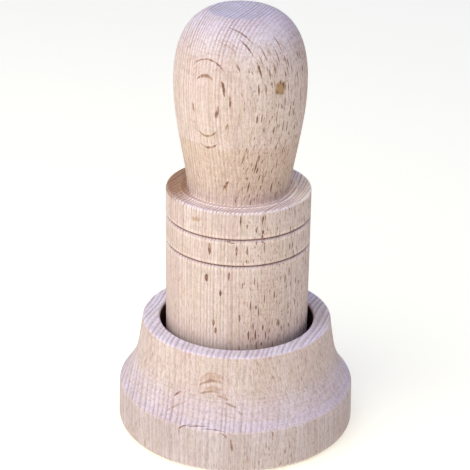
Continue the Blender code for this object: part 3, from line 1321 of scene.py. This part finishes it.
    def _painted_light_and_shade(self) -> tuple[StainOrPaintedLight, ...]:
        """Painted light and shade: a cooler, bluer top facet as painted sky light, painted shade on the left
        of the shoulder, and painted light on its right.
        """
        top, shoulder = self.top, self.shoulder
        return (
            # Painted sky light: the top facet is made cooler and bluer.
            StainOrPaintedLight((0.0, 0.0, top), (12.5, 12.5, 1.6), (0.93, 1.02, 1.06), 0.25, 0.05),
            # Painted shade: the left of the dished shoulder is made dark orange-brown.
            StainOrPaintedLight((-22.0, 5.0, shoulder - 0.4), (11.0, 24.0, 1.6), (0.55, 0.40, 0.28), 0.6, 0.1),
            # Painted light: the right of the shoulder is made much paler, against the handle's shadow there.
            StainOrPaintedLight((23.0, 0.0, shoulder - 0.1), (11.0, 22.0, 1.6), (1.36, 1.40, 1.20), 0.6, 0.1),
        )

    def finish(self) -> BeechFinish:
        """The pestle's wood: narrow rings and large rays on the handle's left, with grooves darkened by
        painted shade and painted highlights at their lips, the ring and the shoulder's edge.
        """
        # Painted shade: a dark brown line along the bottom of each groove.
        grooves = [
            PaintedLightLine(self.radius - self.groove_depth, self.shoulder - drop, 0.8, (0.46, 0.30, 0.23))
            for drop in self.groove_drops
        ]
        # Painted highlights: a paler line along both lips of each groove.
        lips = [
            PaintedLightLine(self.radius, self.shoulder - drop + side * self.groove_width, 0.7, (1.13, 1.14, 1.15))
            for drop in self.groove_drops
            for side in (-1.0, 1.0)
        ]
        dished = self.shoulder - self.shoulder_dish
        crest_radius = self.neck_radius + self.ring_inset + self.ring_width / 2
        return BeechFinish(
            name="beech_pestle",
            ray_turn_degrees=22.0,
            ring_width=1.25,
            pith_distance=143.0,
            seed=7.0,
            quiet_below=-6.0,
            ring_share_on_sides=0.5,
            ring_share_on_ends=1.0,
            flakes=self.ARCS + self.CROWN_RAYS + self.NECK_RAYS + self.CYLINDER_RAYS,
            stains_and_painted_light=self.KNOT + self.CHIPS + self._painted_light_and_shade(),
            zones=(
                Zone(self.shoulder + 0.8, self.shoulder + 20.2, 0.25, (0.95, 0.915, 0.86)),
                # Painted light: the foot of the handle and the inner shoulder are made paler and cooler,
                # against the shade under the bulb.
                Zone(dished - 0.3, self.shoulder + 4.0, 2.4, (1.09, 1.13, 1.19), self.neck_radius + 2.4),
                # Painted light: the shoulder is made warmer and a little paler, against the blue that the
                # lamp from above casts on it.
                Zone(dished - 0.3, self.shoulder + 0.3, 0.3, (1.06, 1.03, 0.92), self.radius - 0.3),
            ),
            painted_light_lines=(
                *grooves,
                *lips,
                # Painted highlight: a bright line on the crest of the shoulder's ring.
                PaintedLightLine(crest_radius, dished + self.ring_height, 0.6, (1.45, 1.48, 1.50)),
                # Painted highlight along the shoulder's outer edge.
                PaintedLightLine(self.radius - 0.3, self.shoulder - 0.3, 0.9, (1.17, 1.18, 1.19)),
            ),
        )

    def build(self, lathe: Lathe) -> bpy.types.Object:
        """Turn the pestle, dress it and tie it to its body.

        Args:
            lathe: The lathe that turns it.

        Returns:
            The finished piece.
        """
        finish = self.finish()
        piece = lathe.turn("turned_pestle", self.outline(), finish.material())
        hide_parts("pestle")
        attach(piece, "pestle")
        return piece


@dataclass(frozen=True)
class SoftLamp:
    """A round lamp that hangs on a sphere round the object and looks at its middle.

    Its strength is how bright a white surface that faces it looks, for red, green and blue.
    """

    name: str
    azimuth_degrees: float
    elevation_degrees: float
    distance: float
    spread_degrees: float
    strength: Triple

    def hang(self, target: Vector) -> None:
        """Hang the lamp.

        Args:
            target: The point that it looks at.
        """
        brightest = max(self.strength)
        data = bpy.data.lights.new(self.name, "AREA")
        data.shape = "DISK"
        data.size = 2 * self.distance * math.tan(math.radians(self.spread_degrees / 2))
        data.energy = brightest * (math.pi * self.distance) ** 2
        data.color = tuple(part / brightest for part in self.strength)
        lamp = bpy.data.objects.new(self.name, data)
        lamp.matrix_world = looking_at(target, self.azimuth_degrees, self.elevation_degrees, self.distance)
        bpy.context.collection.objects.link(lamp)


def looking_at(target: Vector, azimuth: float, elevation: float, distance: float) -> Matrix:
    """A transform whose -Z axis points at a target, as a camera's or a lamp's does.

    Args:
        target: The point to look at.
        azimuth: Degrees round from the front, positive to the right.
        elevation: Degrees above the horizon.
        distance: Metres from the target.

    Returns:
        The transform.
    """
    turn = Matrix.Rotation(math.radians(azimuth), 4, "Z")
    tilt = Matrix.Rotation(math.radians(90.0 - elevation), 4, "X")
    back = Matrix.Translation((0.0, 0.0, distance))
    return Matrix.Translation(target) @ turn @ tilt @ back


@dataclass
class Studio:
    """A pale floor, three soft lamps in a pale haze, and the camera."""

    floor_size: float = 40.0
    floor_colour: Triple = (0.95, 0.92, 0.66)
    floor_glow: float = 0.44
    floor_glow_colour: Triple = (1.0, 0.99, 0.92)
    floor_roughness: float = 0.9
    floor_gloss: float = 0.06
    haze: Triple = (0.15, 0.15, 0.15)
    camera_distance: float = 0.6
    camera_elevation: float = 24.0
    camera_lens: float = 132.46
    camera_sensor: float = 36.0
    camera_nearest: float = 0.05
    camera_aim: Triple = (-0.00103, 0.0, 0.0710)
    camera_roll: float = 0.9
    lamps: Sequence[SoftLamp] = (
        SoftLamp("key", -40.0, 40.0, 0.7, 70.0, (0.955, 0.95, 0.925)),
        SoftLamp("back", 180.0, 12.0, 4.0, 50.0, (0.08, 0.12, 0.12)),
        SoftLamp("sky", 0.0, 90.0, 4.0, 80.0, (0.32, 0.35, 0.78)),
    )

    def build(self) -> None:
        """Lay the floor, hang the lamps and set up the camera."""
        self._floor()
        self._haze()
        middle = Vector((0.0, 0.0, (CAD_BOX[0][2] + CAD_BOX[1][2]) / 2))
        for lamp in self.lamps:
            lamp.hang(middle)
        self._camera()

    def _floor(self) -> None:
        """Lay a plain pale floor under the object."""
        half = self.floor_size / 2
        mesh = bpy.data.meshes.new("floor")
        corners = [(-half, -half, 0.0), (half, -half, 0.0), (half, half, 0.0), (-half, half, 0.0)]
        mesh.from_pydata(corners, [], [(0, 1, 2, 3)])
        paper = bpy.data.materials.new("floor_paper")
        paper.use_nodes = True
        shader = paper.node_tree.nodes["Principled BSDF"]
        shader.inputs["Base Color"].default_value = (*self.floor_colour, 1.0)
        shader.inputs["Roughness"].default_value = self.floor_roughness
        shader.inputs["Specular IOR Level"].default_value = self.floor_gloss
        shader.inputs["Emission Color"].default_value = (*self.floor_glow_colour, 1.0)
        shader.inputs["Emission Strength"].default_value = self.floor_glow
        mesh.materials.append(paper)
        floor = bpy.data.objects.new("floor", mesh)
        bpy.context.collection.objects.link(floor)

    def _haze(self) -> None:
        """Fill the room with a little even light."""
        world = bpy.data.worlds.new("haze")
        world.use_nodes = True
        world.node_tree.nodes["Background"].inputs["Color"].default_value = (*self.haze, 1.0)
        bpy.context.scene.world = world

    def _camera(self) -> None:
        """Set the camera up and aim it."""
        data = bpy.data.cameras.new("camera")
        data.lens = self.camera_lens
        data.sensor_width = self.camera_sensor
        data.clip_start = self.camera_nearest
        camera = bpy.data.objects.new("camera", data)
        aimed = looking_at(Vector(self.camera_aim), 0.0, self.camera_elevation, self.camera_distance)
        camera.matrix_world = aimed @ Matrix.Rotation(math.radians(self.camera_roll), 4, "Z")
        bpy.context.collection.objects.link(camera)
        bpy.context.scene.camera = camera
        bpy.context.scene.view_settings.view_transform = "Standard"


def main() -> None:
    """Build the nutcracker and its studio, in order."""
    logging.basicConfig(level=logging.INFO, format="%(name)s: %(message)s")
    lathe = Lathe()
    for maker in (Cup(), Pestle()):
        piece = maker.build(lathe)
        log.info("%s: %d faces in %s", piece.name, len(piece.data.polygons), type(maker).__name__)
    Studio().build()
    log.info("studio: floor, lamps and camera")


if __name__ == "__main__":
    main()
